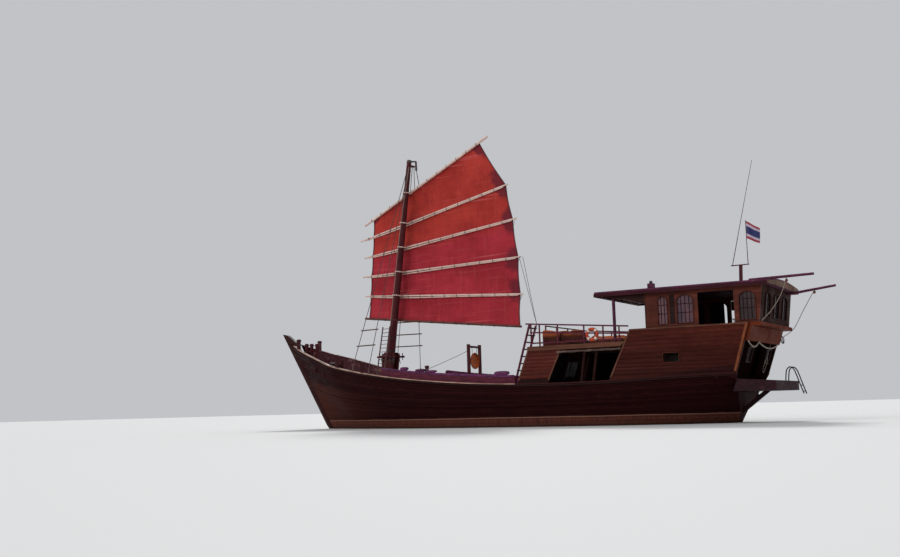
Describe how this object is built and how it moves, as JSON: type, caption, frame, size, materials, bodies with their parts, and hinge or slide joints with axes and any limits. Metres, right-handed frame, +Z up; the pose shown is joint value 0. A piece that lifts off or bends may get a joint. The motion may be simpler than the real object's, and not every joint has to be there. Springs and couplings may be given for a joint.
{
  "type": "chinese junk ship",
  "caption": "Decked wooden motor junk with a high poop, wheelhouse, raised bow and one battened lug sail on a raked mast.",
  "frame": {"origin": "on the centreline at the waterline, midway between the ends of the waterline", "axes": "+X forward to the bow, +Y to port, +Z up"},
  "size_m": [27.9352, 6.4518, 15.8144],
  "materials": {
    "hull_planking": "dark painted planking, weathered",
    "keel_timber": "dark painted timber",
    "bulwark_paint": "dark paint with a paler worn rubbing line",
    "house_wood": "varnished mahogany, satin",
    "poop_wood": "varnished mahogany, lighter, satin",
    "deck_wood": "worn bare planking",
    "rail_paint": "maroon paint, satin",
    "roof_paint": "maroon paint, matt",
    "mast_wood": "dark oiled timber",
    "spar_wood": "pale bare poles",
    "sail_cloth": "sun-faded canvas",
    "flag_cloth": "striped bunting",
    "rope": "laid rope",
    "rigging_wire": "dull galvanised wire",
    "seat_fabric": "padded cover",
    "bronze": "dull bronze",
    "iron": "dark tube, worn",
    "ring_shell": "matt shell"
  },
  "bodies": {
    "ship": {"hull": "hull_planking", "keel_and_stem": "keel_timber", "bulwark_port": "bulwark_paint", "bulwark_starboard": "bulwark_paint", "side_bench_port": "rail_paint", "side_bench_starboard": "rail_paint", "saloon_side_port": "house_wood", "saloon_side_starboard": "house_wood", "poop_side_port": "poop_wood", "poop_side_starboard": "poop_wood", "saloon_front": "house_wood", "cabin_bulkhead": "house_wood", "upper_deck": "deck_wood", "poop_deck": "deck_wood", "transom": "house_wood", "stern_gallery": "poop_wood", "wheelhouse_side_port": "house_wood", "wheelhouse_side_starboard": "house_wood", "wheelhouse_front": "house_wood", "wheelhouse_stern": "house_wood", "roof": "roof_paint", "side_rail_port": "rail_paint", "side_rail_starboard": "rail_paint", "front_rail": "rail_paint", "stair": "rail_paint", "bench_port": "house_wood", "bench_starboard": "house_wood", "cushion_port": "seat_fabric", "cushion_starboard": "seat_fabric", "life_ring": "ring_shell", "tabernacle": "mast_wood", "mast": "mast_wood", "shrouds_port": "rigging_wire", "shrouds_starboard": "rigging_wire", "crew_ladder": "spar_wood", "gong_frame": "mast_wood", "gong": "bronze", "hatch_coaming": "deck_wood", "windlass_bitts": "mast_wood", "bow_posts": "mast_wood", "boarding_platform": "roof_paint", "boarding_ladder": "iron", "aerial_mast": "rail_paint", "flag": "flag_cloth", "helm_console": "house_wood"},
    "sail_rig": {"yard": "spar_wood", "batten_top": "spar_wood", "batten_upper": "spar_wood", "batten_lower": "spar_wood", "batten_foot": "spar_wood", "boom": "spar_wood", "sail": "sail_cloth", "halyard": "rope"},
    "rudder": {"rudder": "keel_timber"},
    "propeller": {"propeller": "bronze"},
    "helm_wheel": {"helm_wheel": "mast_wood"},
    "windlass_barrel": {"windlass_barrel": "mast_wood"},
    "hatch_lid": {"hatch_lid": "house_wood"},
    "cabin_door": {"cabin_door": "poop_wood"}
  },
  "joints": [
    {"name": "sail_swing", "type": "hinge", "parent": "ship", "child": "sail_rig", "pos_m": [6.81, 0, 2.99], "axis": [-0.1375, 0, 0.9905], "range_deg": [-30, 30]},
    {"name": "rudder_turn", "type": "hinge", "parent": "ship", "child": "rudder", "pos_m": [-9.98, 0, -1.3], "axis": [0, 0, 1], "range_deg": [-35, 35]},
    {"name": "helm_turn", "type": "hinge", "parent": "ship", "child": "helm_wheel", "pos_m": [-8.5, 0, 4.28], "axis": [1, 0, 0], "range_deg": [-720, 720]},
    {"name": "propeller_spin", "type": "hinge", "parent": "ship", "child": "propeller", "pos_m": [-9.35, 0, -1.36], "axis": [1, 0, 0], "continuous": true},
    {"name": "windlass_spin", "type": "hinge", "parent": "ship", "child": "windlass_barrel", "pos_m": [10.35, 0, 3.2], "axis": [0, 1, 0], "continuous": true},
    {"name": "hatch_open", "type": "hinge", "parent": "ship", "child": "hatch_lid", "pos_m": [0.83, 0, 1.5004], "axis": [0, 1, 0], "range_deg": [0, 95]},
    {"name": "cabin_door_swing", "type": "hinge", "parent": "ship", "child": "cabin_door", "pos_m": [-7.888, 0.392, 2.1], "axis": [0, 0, 1], "range_deg": [-100, 0]}
  ],
  "couplings": [
    {"joint": "helm_turn", "follows": "rudder_turn", "ratio": 20.5}
  ]
}
